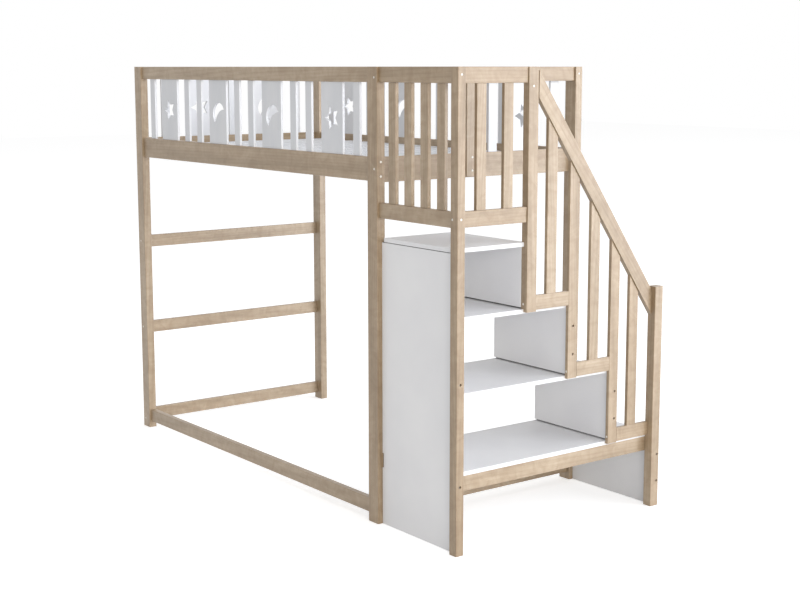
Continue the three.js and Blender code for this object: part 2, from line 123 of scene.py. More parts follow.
def addSoftBoxes():
    for name, (place, size, power, colour) in lightValues["boxes"].items():
        data = bpy.data.lights.new(name, "AREA")
        data.shape = "RECTANGLE"
        data.size, data.size_y = size
        data.energy = power
        data.color = linear(colour)[:3]
        box = bpy.data.objects.new(name, data)
        box.location = place
        direction = Vector(lightValues["aim"]) - box.location
        box.rotation_euler = direction.to_track_quat("-Z", "Y").to_euler()
        scene.collection.objects.link(box)


def addRoom():
    world = bpy.data.worlds.new("room")
    world.use_nodes = True
    scene.world = world
    tree = world.node_tree
    tree.nodes.clear()
    light = {"Color": linear(lightValues["roomColour"]), "Strength": lightValues["roomLevel"]}
    lit = addNode(tree, "ShaderNodeBackground", light)
    backdrop = {"Color": linear(lightValues["backdropColour"]), "Strength": 1.0}
    white = addNode(tree, "ShaderNodeBackground", backdrop)
    sides = {0: seenDirectly(tree), 1: lit.outputs[0], 2: white.outputs[0]}
    mixed = addNode(tree, "ShaderNodeMixShader", sides)
    addNode(tree, "ShaderNodeOutputWorld", {"Surface": mixed.outputs[0]})


# A floor of matt white paint, which keeps the soft shadow of the bed
def addFloor():
    material = bpy.data.materials.new("mattWhitePaintFloor")
    material.use_nodes = True
    tree = material.node_tree
    tree.nodes.clear()
    colour = {"Color": linear(lightValues["floorColour"])}
    paint = addNode(tree, "ShaderNodeBsdfDiffuse", colour)
    glowing = {0: seenDirectly(tree), 1: lightValues["floorGlow"]}
    strength = addNode(tree, "ShaderNodeMath", glowing, operation="MULTIPLY").outputs[0]
    glow = addNode(tree, "ShaderNodeEmission", {"Strength": strength})
    both = addNode(tree, "ShaderNodeAddShader", {0: paint.outputs[0], 1: glow.outputs[0]})
    addNode(tree, "ShaderNodeOutputMaterial", {"Surface": both.outputs[0]})
    bpy.ops.object.select_all(action="DESELECT")
    place = (0, 0, lightValues["floorHeight"])
    bpy.ops.mesh.primitive_plane_add(size=lightValues["floorSize"], location=place)
    floor = bpy.context.active_object
    floor.name = "floor"
    floor.data.materials.append(material)


scene.view_settings.view_transform = "Standard"
addCamera()
addSoftBoxes()
addRoom()
addFloor()
print("camera, light and floor done")

# Materials

wavePeriod = 0.314  # length of one wave of a wave texture, at scale 1


def newMaterial(name):
    material = bpy.data.materials.new(name)
    material.use_nodes = True
    material.node_tree.nodes.clear()
    return material, material.node_tree


# Noises that follow the grain of a piece. Each has its width across the grain, a squeeze along
# it that pulls the noise long when it is under 1, and a detail, a roughness and a distortion.
def addGrainNoises(tree, place, noises):
    patterns = {}
    for name, (width, squeeze, detail, roughness, distortion) in noises.items():
        scaled = {"Vector": place, "Scale": (squeeze, 1, 1)}
        inputs = {
            "Vector": addNode(tree, "ShaderNodeMapping", scaled).outputs[0],
            "Scale": 1 / width,
            "Detail": detail,
            "Roughness": roughness,
            "Distortion": distortion,
        }
        patterns[name] = addNode(tree, "ShaderNodeTexNoise", inputs).outputs["Fac"]
    return patterns


# Lays a colour over the one below. A layer is how the two mix, the values of the pattern
# between which its share grows, its largest share and its colour.
def layOver(tree, below, pattern, layer):
    kind, low, high, share, colour = layer
    grown = addNode(tree, "ShaderNodeMapRange", {"Value": pattern, 1: low, 2: high, 4: share})
    inputs = {0: grown.outputs[0], 6: below, 7: linear(colour)}
    return addNode(tree, "ShaderNodeMix", inputs, data_type="RGBA", blend_type=kind).outputs[2]


# The surface of a material: its colour, a fine relief with a strength and a depth, and a roughness
# that follows a pattern, given as two values of the pattern and the roughness at each
def finishMaterial(tree, values, colour, height, pattern, more):
    strength, depth = values["relief"]
    bumpInputs = {"Height": height, "Strength": strength, "Distance": depth}
    bump = addNode(tree, "ShaderNodeBump", bumpInputs)
    low, high, roughAtLow, roughAtHigh = values["roughness"]
    roughInputs = {"Value": pattern, 1: low, 2: high, 3: roughAtLow, 4: roughAtHigh}
    rough = addNode(tree, "ShaderNodeMapRange", roughInputs)
    inputs = {"Base Color": colour, "Roughness": rough.outputs[0], "Normal": bump.outputs[0]}
    shader = addNode(tree, "ShaderNodeBsdfPrincipled", {**inputs, **more})
    addNode(tree, "ShaderNodeOutputMaterial", {"Surface": shader.outputs[0]})


birchValues = {
    # where each colour of the streaks stands in their noise
    "streakColours": [(0.34, "#b4a188"), (0.5, "#a9957b"), (0.66, "#9c886d")],
    # Width, squeeze, detail, roughness and distortion. Real fibres are near 0.1 mm, and are
    # drawn coarser, so that they show.
    "noises": {
        "streaks": (0.045, 0.07, 3.0, 0.55, 0.0),
        "figure": (0.07, 1.4, 3.0, 0.55, 1.2),  # bands across the grain
        "fibres": (0.0042, 0.02, 5.0, 0.65, 0.0),
        "flecks": (0.0016, 0.08, 0.0, 0.5, 0.0),
    },
    "ringSpacing": 0.012,
    "ringSqueeze": 0.12,
    "ringWobble": {
        "Distortion": 4.0,
        "Detail": 2.0,
        "Detail Scale": 0.25,
        "Detail Roughness": 0.5,
    },
    # in the order in which they lie over the streaks
    "layers": {
        "figure": ("MULTIPLY", 0.38, 0.68, 0.55, "#d8ccb9"),
        "rings": ("MULTIPLY", 0.4, 1.0, 0.24, "#d2c4ae"),
        "fibres": ("MULTIPLY", 0.38, 0.64, 0.22, "#d2c4ae"),
        "flecks": ("MULTIPLY", 0.72, 0.82, 0.35, "#b9a78e"),
        "pieceTone": ("MULTIPLY", 0.0, 1.0, 1.0, "#ece6dc"),  # differs from piece to piece
        "edgeWear": ("MIX", 0.0, 1.0, 0.5, "#c9bba6"),
    },
    "ringHeight": 0.5,  # in the relief, against that of the fibres
    "relief": (0.35, 0.0003),
    "roughness": (0.3, 0.7, 0.44, 0.56),
    "lacquer": {"IOR": 1.5, "Coat Weight": 0.9, "Coat Roughness": 0.45},
}


# Birch, planed and sealed with a clear satin lacquer: pale and even, with faint rings and fine
# fibres along each piece, and a soft broad sheen
def makeBirch():
    values = birchValues
    material, tree = newMaterial("birchClearSatinLacquer")
    place = addNode(tree, "ShaderNodeAttribute", attribute_name="grainPlace").outputs["Vector"]
    patterns = addGrainNoises(tree, place, values["noises"])
    for name in ("pieceTone", "edgeWear"):
        attribute = addNode(tree, "ShaderNodeAttribute", attribute_name=name)
        patterns[name] = attribute.outputs["Fac"]
    scaled = {"Vector": place, "Scale": (values["ringSqueeze"], 1, 1)}
    squeezed = addNode(tree, "ShaderNodeMapping", scaled).outputs[0]
    ringInputs = {"Vector": squeezed, "Scale": wavePeriod / values["ringSpacing"]}
    ringInputs.update(values["ringWobble"])
    ringSettings = {"wave_type": "RINGS", "rings_direction": "X"}
    rings = addNode(tree, "ShaderNodeTexWave", ringInputs, **ringSettings).outputs["Fac"]
    patterns["rings"] = rings

    streaks = addNode(tree, "ShaderNodeValToRGB", {"Fac": patterns["streaks"]})
    stops = streaks.color_ramp.elements
    stops.new(0.5)  # between the two that a ramp starts with
    for stop, (position, colour) in zip(stops, values["streakColours"]):
        stop.position = position
        stop.color = linear(colour)
    colour = streaks.outputs["Color"]
    for name, layer in values["layers"].items():
        colour = layOver(tree, colour, patterns[name], layer)

    fibres = patterns["fibres"]
    both = {0: rings, 1: values["ringHeight"], 2: fibres}
    height = addNode(tree, "ShaderNodeMath", both, operation="MULTIPLY_ADD").outputs[0]
    finishMaterial(tree, values, colour, height, fibres, values["lacquer"])
    return material


boardValues = {
    "colour": "#ebebec",
    "cloudSize": 0.30,
    "cloudLayer": ("MIX", 0.35, 0.65, 1.0, "#e5e5e7"),
    "edgeLayer": ("MIX", 0.0, 1.0, 0.6, "#e4e4e3"),
    # painted shade: near black, mixed over the back wall of a groove for its dark line
    "grooveShadeLayer": ("MIX", 0.0, 1.0, 1.0, "#4c4a47"),
    "pearlSize": 0.0018,
    "relief": (0.2, 0.00012),
    "roughness": (0.3, 0.7, 0.48, 0.58),
}


# Chipboard faced with white melamine: an even cool white with a fine pearl texture, which blurs
# reflections to a satin sheen. The back wall of a groove cut into it is painted near black, as
# painted shade for the dark line of the groove.
def makeWhiteBoard():
    values = boardValues
    material, tree = newMaterial("whiteMelamineBoard")
    place = addNode(tree, "ShaderNodeTexCoord").outputs["Object"]
    worn = addNode(tree, "ShaderNodeAttribute", attribute_name="edgeWear").outputs["Fac"]
    # marks the back wall of a groove, which gets painted shade
    grooveShade = addNode(tree, "ShaderNodeAttribute", attribute_name="bareCore").outputs["Fac"]
    cloudInputs = {"Vector": place, "Scale": 1 / values["cloudSize"], "Detail": 3.0}
    clouds = addNode(tree, "ShaderNodeTexNoise", cloudInputs).outputs["Fac"]
    pearlInputs = {"Vector": place, "Scale": 1 / values["pearlSize"], "Detail": 2.0}
    pearl = addNode(tree, "ShaderNodeTexNoise", pearlInputs).outputs["Fac"]
    colour = layOver(tree, linear(values["colour"]), clouds, values["cloudLayer"])
    colour = layOver(tree, colour, worn, values["edgeLayer"])
    # painted shade: the back wall of a groove turns near black
    colour = layOver(tree, colour, grooveShade, values["grooveShadeLayer"])
    finishMaterial(tree, values, colour, pearl, pearl, {"IOR": 1.5})
    return material


paintValues = {
    "colour": "#dbdcdf",
    # width, squeeze, detail, roughness and distortion
    "noises": {
        "clouds": (0.08, 0.3, 2.0, 0.5, 0.0),
        "ridges": (0.0035, 0.04, 4.0, 0.6, 0.0),
    },
    "layers": {
        "clouds": ("MIX", 0.35, 0.65, 0.8, "#d3d5d9"),
        "ridges": ("MIX", 0.5, 0.7, 0.35, "#d3d5d9"),
        "edgeWear": ("MIX", 0.0, 1.0, 0.5, "#d3d1cb"),
    },
    "relief": (0.3, 0.0002),
    "roughness": (0.3, 0.7, 0.42, 0.56),
}


# Wood under sprayed white satin paint: the grain still shows as faint ridges along the piece,
# and the paint thins at the edges
def makeWhitePaint():
    values = paintValues
    material, tree = newMaterial("whiteSatinPaintOnWood")
    place = addNode(tree, "ShaderNodeAttribute", attribute_name="grainPlace").outputs["Vector"]
    patterns = addGrainNoises(tree, place, values["noises"])
    worn = addNode(tree, "ShaderNodeAttribute", attribute_name="edgeWear").outputs["Fac"]
    patterns["edgeWear"] = worn
    colour = linear(values["colour"])
    for name, layer in values["layers"].items():
        colour = layOver(tree, colour, patterns[name], layer)
    ridges = patterns["ridges"]
    finishMaterial(tree, values, colour, ridges, ridges, {"IOR": 1.5})
    return material


steelValues = {
    "colour": "#b4b2ad",
    "cloudSize": 0.0009,
    "cloudLayer": ("MIX", 0.35, 0.65, 1.0, "#96938d"),
    "relief": (0.2, 0.00004),
    "roughness": (0.3, 0.7, 0.45, 0.58),
}


# Bolt heads of zinc-plated steel: a grey metal with a slightly cloudy plating
def makeSteel():
    values = steelValues
    material, tree = newMaterial("zincPlatedSteel")
    place = addNode(tree, "ShaderNodeTexCoord").outputs["Object"]
    cloudInputs = {"Vector": place, "Scale": 1 / values["cloudSize"], "Detail": 3.0}
    clouds = addNode(tree, "ShaderNodeTexNoise", cloudInputs).outputs["Fac"]
    colour = layOver(tree, linear(values["colour"]), clouds, values["cloudLayer"])
    finishMaterial(tree, values, colour, clouds, clouds, {"Metallic": 1.0})
    return material


capValues = {
    "colour": "#e9e6df",
    "skinSize": 0.0012,
    "skinLayer": ("MIX", 0.35, 0.65, 1.0, "#dcd8cf"),
    "relief": (0.15, 0.00005),
    "roughness": (0.3, 0.7, 0.38, 0.5),
}


# Cover caps of off-white plastic, satin, with a faintly uneven skin
def makeCapPlastic():
    values = capValues
    material, tree = newMaterial("offWhiteSatinPlastic")
    place = addNode(tree, "ShaderNodeTexCoord").outputs["Object"]
    skinInputs = {"Vector": place, "Scale": 1 / values["skinSize"], "Detail": 2.0}
    skin = addNode(tree, "ShaderNodeTexNoise", skinInputs).outputs["Fac"]
    colour = layOver(tree, linear(values["colour"]), skin, values["skinLayer"])
    finishMaterial(tree, values, colour, skin, skin, {"IOR": 1.49})
    return material


webbingValues = {
    # painted shade: the darker colour between the threads
    "gapShadeColour": "#c6c3bb",
    "threadLayer": ("MIX", 0.0, 0.5, 1.0, "#e2e0da"),
    "threadSpacing": 0.0024,
    "threadWobble": 0.4,
    "relief": (0.6, 0.0004),
    "roughness": (0.0, 1.0, 0.9, 0.75),
}


# Woven polyester webbing: off-white, matt, with a plain weave of flat threads, and painted shade
# in the gaps between the threads
def makeWebbing():
    values = webbingValues
    material, tree = newMaterial("wovenPolyesterWebbing")
    place = addNode(tree, "ShaderNodeTexCoord").outputs["Object"]
    inputs = {
        "Vector": place,
        "Scale": wavePeriod / values["threadSpacing"],
        "Distortion": values["threadWobble"],
    }
    waves = {}
    for number, direction in enumerate(("X", "Y")):
        settings = {"wave_type": "BANDS", "bands_direction": direction}
        waves[number] = addNode(tree, "ShaderNodeTexWave", inputs, **settings).outputs["Fac"]
    weave = addNode(tree, "ShaderNodeMath", waves, operation="MULTIPLY").outputs[0]
    # painted shade in the gaps between the threads, under the thread colour
    colour = layOver(tree, linear(values["gapShadeColour"]), weave, values["threadLayer"])
    finishMaterial(tree, values, colour, weave, weave, {"IOR": 1.5})
    return material


birch = makeBirch()
whiteBoard = makeWhiteBoard()
whitePaint = makeWhitePaint()
steel = makeSteel()
capPlastic = makeCapPlastic()
webbing = makeWebbing()
print("materials done")

# Modelling steps that all pieces share

joinGap = 0.0003  # left in the CAD between pieces that meet
overshoot = 0.01  # how far a cutter reaches past the piece
samePlace = 1e-4  # corners nearer than this count as level with each other

easeValues = {
    "longSegments": 3,  # round each long edge of a stick
    "endSegments": 1,
    "boardSegments": 2,
    "smoothAngle": 40,  # degrees
}

grainValues = {
    "start": (0, 20),  # metres along the tree, drawn for each piece
    "pith": (0.06, 0.14),  # how far off the middle of the tree is
    "lean": (0.03, 0.07),  # of the piece in its tree, either way
    "flatArea": 4e-5,  # faces larger than this are flat and unworn, in square metres
}


def makeActive(piece):
    bpy.ops.object.select_all(action="DESELECT")
    piece.select_set(True)
    bpy.context.view_layer.objects.active = piece


def applyModifier(piece, kind, **settings):
    makeActive(piece)
    modifier = piece.modifiers.new(kind, kind)
    for name, value in settings.items():
        setattr(modifier, name, value)
    bpy.ops.object.modifier_apply(modifier=modifier.name)


# A block from its lowest to its highest corner, with its place in its mesh
def addBlock(name, low, high):
    bpy.ops.object.select_all(action="DESELECT")
    low, high = Vector(low), Vector(high)
    bpy.ops.mesh.primitive_cube_add(size=1, location=(low + high) / 2)
    piece = bpy.context.active_object
    piece.name = piece.data.name = name
    piece.scale = high - low
    bpy.ops.object.transform_apply(location=True, rotation=True, scale=True)
    return piece


# Rounds the edges that the test picks by their two ends
def roundEdges(piece, radius, segments, picked):
    makeActive(piece)
    bpy.ops.object.mode_set(mode="EDIT")
    bpy.ops.mesh.select_mode(type="EDGE")
    bpy.ops.mesh.select_all(action="DESELECT")
    mesh = bmesh.from_edit_mesh(piece.data)
    for edge in mesh.edges:
        edge.select_set(picked(edge.verts[0].co, edge.verts[1].co))
    bmesh.update_edit_mesh(piece.data)
    bpy.ops.mesh.bevel(offset=radius, segments=segments, affect="EDGES")
    bpy.ops.object.mode_set(mode="OBJECT")


# Cuts the piece by a plane, removes what lies on the normal's side and closes the cut
def sliceOff(piece, point, normal):
    makeActive(piece)
    bpy.ops.object.mode_set(mode="EDIT")
    bpy.ops.mesh.select_all(action="SELECT")
    bpy.ops.mesh.bisect(plane_co=point, plane_no=normal, use_fill=True, clear_outer=True)
    bpy.ops.object.mode_set(mode="OBJECT")


# Cuts the space of another shape out of the piece, and removes that shape
def carve(piece, cutter):
    applyModifier(piece, "BOOLEAN", operation="DIFFERENCE", solver="EXACT", object=cutter)
    bpy.data.objects.remove(cutter)


def copyPiece(source, name, move):
    piece = source.copy()
    piece.data = source.data.copy()
    piece.name = piece.data.name = name
    piece.data.transform(Matrix.Translation(move))
    scene.collection.objects.link(piece)
    return piece


# Rounds the long edges of a stick and eases its two ends
def easeStick(piece, along, longRadius, endRadius):
    nearlyParallel = 0.99

    def isLong(first, second):
        return abs((second - first).normalized().dot(along)) > nearlyParallel

    roundEdges(piece, longRadius, easeValues["longSegments"], isLong)
    points = [vertex.co.copy() for vertex in piece.data.vertices]
    middle = sum(points, Vector()) / len(points)
    halfLength = max(abs((point - middle).dot(along)) for point in points)

    def isEnd(first, second):
        reach = min(abs((point - middle).dot(along)) for point in (first, second))
        return not isLong(first, second) and reach > halfLength / 2

    roundEdges(piece, endRadius, easeValues["endSegments"], isEnd)


# Where the grain of the piece lies in its own tree: the first number runs along the grain, and
# the other two are measured from the pith, which is some way off. Also a tone for the whole
# piece, and how worn each spot is, which is 1 on rounded edges.
def layGrain(piece, along):
    numbers = random.Random(piece.name)
    along = along.normalized()
    side = (yAxis if abs(along.y) < 0.5 else xAxis).cross(along).normalized()
    up = along.cross(side)
    points = [vertex.co for vertex in piece.data.vertices]
    middle = sum(points, Vector()) / len(points)
    start = numbers.uniform(*grainValues["start"])
    angle = numbers.uniform(0, 2 * math.pi)
    pith = numbers.uniform(*grainValues["pith"])
    lean = numbers.choice((-1, 1)) * numbers.uniform(*grainValues["lean"])
    places = []
    for point in points:
        away = point - middle
        places += [
            start + away.dot(along),
            away.dot(side) + pith * math.cos(angle),
            away.dot(up) + pith * math.sin(angle) + lean * away.dot(along),
        ]
    mesh = piece.data
    grain = mesh.attributes.new("grainPlace", "FLOAT_VECTOR", "POINT")
    grain.data.foreach_set("vector", places)
    tones = [numbers.random()] * len(points)
    mesh.attributes.new("pieceTone", "FLOAT", "POINT").data.foreach_set("value", tones)
    flat = set()
    for face in mesh.polygons:
        if face.area > grainValues["flatArea"]:
            flat.update(face.vertices)
    wear = [0.0 if index in flat else 1.0 for index in range(len(points))]
    mesh.attributes.new("edgeWear", "FLOAT", "POINT").data.foreach_set("value", wear)


# The last steps for every piece: soft shading over the rounded edges, grain, material, a place
# under the root body, and hiding the nodes of the imported model that the piece replaces
def finishPiece(piece, along, material, slot, *nodes):
    makeActive(piece)
    bpy.ops.object.shade_smooth_by_angle(angle=math.radians(easeValues["smoothAngle"]))
    applyModifier(piece, "WEIGHTED_NORMAL", keep_sharp=True)
    layGrain(piece, along)
    piece.data.materials.clear()
    piece.data.materials.append(material)
    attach(piece, "root")
    if nodes:
        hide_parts(*nodes)


# Bolts, and the caps that cover some of them

boltValues = {
    "headRadius": 0.0044,  # of bolts and caps
    "headThickness": 0.0016,
    "headSides": 32,
    "rounding": {"bolt": 0.0005, "cap": 0.0006},
    "roundingSegments": 3,
    "socketRadius": 0.0021,
    "socketDepth": 0.0011,
    "socketSides": 6,
    "holeRadius": 0.0050,
    "holeSides": 24,
    "drillLength": 0.02,
    "seatGap": 0.0001,  # under a head, to the floor of its hole
    "depths": {"level": 0.0018, "sunk": 0.0070},  # a cap lies level, and a bare bolt lies sunk
    # node, face, place across from the middle of that face, height above the floor, depth
    "places": [
        ("post_front_right", "-y", 0.0125, 1.730, "level"),
        ("post_front_right", "-y", 0.0125, 1.387, "level"),
        ("post_front_right", "+x", 0.0, 1.414, "level"),
        ("post_front_right", "+x", 0.0, 1.359, "level"),
        ("post_front_left", "-y", -0.011, 0.928, "level"),
        ("post_front_left", "-y", -0.011, 0.502, "level"),
        ("post_front_left", "-y", -0.011, 0.040, "level"),
        ("post_back_right", "+x", 0.0, 1.742, "level"),
        ("stair_post_front", "+x", 0.0, 1.743, "level"),
        ("stair_post_front", "+x", 0.0, 1.235, "level"),
        ("stair_post_front", "+x", 0.0, 0.639, "sunk"),
        ("stair_post_front", "+x", 0.0, 0.260, "sunk"),
        ("stair_post_front", "-y", -0.010, 1.234, "level"),
        ("stair_post_back", "+x", 0.010, 0.215, "sunk"),
        ("stair_post_back", "+x", 0.010, 0.104, "sunk"),
        ("newel_top", "-y", -0.004, 0.895, "level"),
        ("newel_top", "+x", 0.0, 1.700, "level"),
        ("newel_middle", "-y", 0.0, 0.613, "level"),
        ("newel_middle", "+x", 0.002, 0.789, "sunk"),
        ("newel_middle", "+x", 0.002, 0.679, "sunk"),
        ("newel_bottom", "-y", 0.0, 0.320, "level"),
        ("newel_bottom", "+x", 0.008, 0.502, "sunk"),
        ("newel_bottom", "+x", 0.008, 0.392, "sunk"),
        ("guard_post_right", "+x", 0.0, 1.415, "level"),
        ("guard_post_right", "+x", 0.0, 1.362, "level"),
    ],
}


# A point on a face of a node, and the direction that the face looks in
def boltSeat(node, face, across, height):
    low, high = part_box(node)
    if face == "+x":
        return Vector((high.x, (low.y + high.y) / 2 + across, height)), xAxis
    return Vector(((low.x + high.x) / 2 + across, low.y, height)), -yAxis


def addDisc(name, centre, direction, radius, depth, sides):
    bpy.ops.object.select_all(action="DESELECT")
    turn = direction.to_track_quat("Z", "Y").to_euler()
    settings = {"vertices": sides, "radius": radius, "depth": depth}
    bpy.ops.mesh.primitive_cylinder_add(location=centre, rotation=turn, **settings)
    disc = bpy.context.active_object
    disc.name = disc.data.name = name
    bpy.ops.object.transform_apply(location=True, rotation=True, scale=True)
    return disc


def drillHoles(piece, node):
    for owner, face, across, height, depth in boltValues["places"]:
        if owner != node:
            continue
        seat, outwards = boltSeat(node, face, across, height)
        length = boltValues["drillLength"]
        middle = seat + outwards * (length / 2 - boltValues["depths"][depth])
        hole = (boltValues["holeRadius"], length, boltValues["holeSides"])
        carve(piece, addDisc("drill", middle, outwards, *hole))


# A flat round head, its top at the origin and facing +Z. That of a bolt has a hexagon socket.
def makeHead(kind):
    radius, thickness = boltValues["headRadius"], boltValues["headThickness"]
    centre = (0, 0, -thickness / 2)
    head = addDisc(kind + "Head", centre, zAxis, radius, thickness, boltValues["headSides"])

    def isTop(first, second):
        return min(first.z, second.z) > -samePlace

    roundEdges(head, boltValues["rounding"][kind], boltValues["roundingSegments"], isTop)
    if kind == "bolt":
        radius, depth = boltValues["socketRadius"], 2 * boltValues["socketDepth"]
        socket = addDisc("socket", (0, 0, 0), zAxis, radius, depth, boltValues["socketSides"])
        carve(head, socket)
    return head


def addBolts():
    heads = {kind: makeHead(kind) for kind in ("bolt", "cap")}
    for number, (node, face, across, height, depth) in enumerate(boltValues["places"], 1):
        kind, material = ("bolt", steel) if depth == "sunk" else ("cap", capPlastic)
        head = copyPiece(heads[kind], f"{kind}_{number}", (0, 0, 0))
        seat, outwards = boltSeat(node, face, across, height)
        top = boltValues["depths"][depth] - boltValues["headThickness"] - boltValues["seatGap"]
        turn = outwards.to_track_quat("Z", "Y").to_matrix().to_4x4()
        head.data.transform(Matrix.Translation(seat - outwards * top) @ turn)
        finishPiece(head, outwards, material, None)
    for head in heads.values():
        bpy.data.objects.remove(head)


# Posts, rails and other straight sticks of birch

stickValues = {
    "postRadius": 0.002,
    "railRadius": 0.0016,
    "slatRadius": 0.0012,
    "endRadius": 0.0005,
}

posts = [
    "post_front_left",
    "post_front_right",
    "post_back_left",
    "post_back_right",
    "stair_post_front",
    "stair_post_back",
    "guard_post_right",
]
railsAlong = [
    "rail_front_top",
    "rail_front_bed",
    "rail_front_floor",
    "rail_back_top",
    "rail_back_bed",
    "ledger_front",
    "ledger_back",
    "platform_front_rail_top",
    "platform_front_rail_low",
]
railsAcross = [
    "rail_left_top",
    "rail_left_bed",
    "rung_left_upper",
    "rung_left_lower",
    "rail_left_floor",
    "rail_right_top",
    "rail_right_bed",
    "rail_right_floor",
    "stair_low_beam",
    "platform_side_rail_top",
    "platform_side_rail_low",
    "short_rail_top",
    "short_rail_middle",
    "short_rail_bottom",
]
platformSlats = [f"platform_front_slat_{number}" for number in (1, 2, 3, 4)]
platformSlats += [f"platform_side_slat_{number}" for number in (1, 2)]


# Sticks of one size are modelled once and copied to their places
def addSticks(nodes, along, radius):
    made = {}
    for node in nodes:
        low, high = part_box(node)
        size = tuple(round(value, 5) for value in high - low)
        name = node + "_wood"
        if size in made:
            source, sourceLow = made[size]
            piece = copyPiece(source, name, low - sourceLow)
        else:
            piece = addBlock(name, low, high)
            easeStick(piece, along, radius, stickValues["endRadius"])
            pattern = copyPiece(piece, name + "_pattern", (0, 0, 0))
            made[size] = (pattern, low)
        drillHoles(piece, node)
        finishPiece(piece, along, birch, "birch", node)
    for pattern, _ in made.values():
        bpy.data.objects.remove(pattern)


addSticks(posts, zAxis, stickValues["postRadius"])
addSticks(railsAlong, xAxis, stickValues["railRadius"])
addSticks(railsAcross, yAxis, stickValues["railRadius"])
addSticks(platformSlats, zAxis, stickValues["slatRadius"])
print("posts, rails and platform slats done")

# Newels, balusters and the sloping handrail

slopeValues = {"radius": 0.0014}


# Where the handrail starts and ends along Y, how high its underside and its top are at its
# start, and how high its top is at its end
def handrailCorners():
    points = [vertex.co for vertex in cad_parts["handrail"].data.vertices]
    start = min(point.y for point in points)
    end = max(point.y for point in points)
    starts = [point.z for point in points if point.y - start < samePlace]
    ends = [point.z for point in points if end - point.y < samePlace]
    return start, end, min(starts), max(starts), max(ends)


railStart, railEnd, startUnder, startTop, endTop = handrailCorners()
slope = Vector((0, railEnd - railStart, endTop - startTop)).normalized()
slopeUp = xAxis.cross(slope)


def addHandrail():
    low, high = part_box("handrail")
    piece = addBlock("handrail_wood", low, high)
    sliceOff(piece, (0, railStart, startTop), slopeUp)
    sliceOff(piece, (0, railStart, startUnder), -slopeUp)
    easeStick(piece, slope, slopeValues["radius"], stickValues["endRadius"])
    finishPiece(piece, slope, birch, "birch", "handrail")


# An upright at the side of the stairs, cut to the slope of the handrail over it
def addUpright(node):
    low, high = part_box(node)
    piece = addBlock(node + "_wood", low, high)
    frontTop = max(vertex.co.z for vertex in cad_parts[node].data.vertices)
    sliceOff(piece, (0, low.y, frontTop), slopeUp)
    easeStick(piece, zAxis, slopeValues["radius"], stickValues["endRadius"])
    drillHoles(piece, node)
    finishPiece(piece, zAxis, birch, "birch", node)


# The newel at the platform's edge has a notch at its foot, which sits on the top tread
def addTopNewel():
    low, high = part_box("newel_top")
    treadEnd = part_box("tread_top")[1]
    piece = addBlock("newel_top_wood", low, high)
    easeStick(piece, zAxis, stickValues["postRadius"], stickValues["endRadius"])
    notchLow = (low.x - overshoot, low.y - overshoot, low.z - overshoot)
    notchHigh = (treadEnd.x + joinGap, high.y + overshoot, treadEnd.z + joinGap)
    carve(piece, addBlock("notch", notchLow, notchHigh))
    drillHoles(piece, "newel_top")
    finishPiece(piece, zAxis, birch, "birch", "newel_top")


uprights = ["newel_middle", "newel_bottom"]
uprights += ["baluster_top", "baluster_middle", "baluster_bottom"]

addHandrail()
for node in uprights:
    addUpright(node)
addTopNewel()
print("newels, balusters and handrail done")

# White boards of the stairs

boardShape = {
    "edgeRadius": 0.0009,
    "riserGroove": (0.012, 0.0055),  # depth and height
    "panelGroove": (0.006, 0.0022),
}
plainBoards = ["tread_top", "tread_middle", "tread_bottom", "back_panel", "stair_inner_beam"]
risers = ["riser_top", "riser_middle", "riser_bottom"]


def easeBoard(piece):
    segments = easeValues["boardSegments"]
    roundEdges(piece, boardShape["edgeRadius"], segments, lambda first, second: True)


# Cuts a groove along an edge of the front face and marks its back wall for painted shade, which
# the white board's material paints near black
def addGroove(piece, low, high):
    carve(piece, addBlock("groove", low, high))
    # painted shade: the back wall of the groove is marked 1, and the material paints it near black
    values = []
    for vertex in piece.data.vertices:
        inside = low[2] - samePlace < vertex.co.z < high[2] + samePlace
        atBack = abs(vertex.co.y - high[1]) < samePlace
        values.append(1.0 if inside and atBack else 0.0)
    attribute = piece.data.attributes.new("bareCore", "FLOAT", "POINT")
    attribute.data.foreach_set("value", values)


def addPlainBoards():
    for node in plainBoards:
        piece = addBlock(node + "_white", *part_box(node))
        easeBoard(piece)
        finishPiece(piece, xAxis, whiteBoard, "white_board", node)


# The front panel has a notch at its inner edge, in which the end of a beam shows, and a shallow
# groove along its top, whose back wall is painted near black as painted shade, so that it shows as
# a dark line under the platform
def addFrontPanel():
    low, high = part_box("front_panel")
    beamLow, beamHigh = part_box("stair_inner_beam")
    piece = addBlock("front_panel_white", low, high)
    easeBoard(piece)
    notchLow = (low.x - overshoot, low.y - overshoot, beamLow.z - joinGap)
    notchHigh = (beamHigh.x + joinGap, high.y + overshoot, beamHigh.z + joinGap)
    carve(piece, addBlock("notch", notchLow, notchHigh))
    depth, height = boardShape["panelGroove"]
    grooveLow = (low.x - overshoot, low.y - overshoot, high.z - height)
    addGroove(piece, grooveLow, (high.x + overshoot, low.y + depth, high.z + overshoot))
    finishPiece(piece, zAxis, whiteBoard, "white_board", "front_panel")


# The platform has a notch at its back corner, round the top newel
def addPlatform():
    low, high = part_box("platform_board")
    newelLow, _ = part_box("newel_top")
    piece = addBlock("platform_board_white", low, high)
    easeBoard(piece)
    notchLow = (newelLow.x - joinGap, newelLow.y - joinGap, low.z - overshoot)
    notchHigh = (high.x + overshoot, high.y + overshoot, high.z + overshoot)
    carve(piece, addBlock("notch", notchLow, notchHigh))
    finishPiece(piece, xAxis, whiteBoard, "white_board", "platform_board")


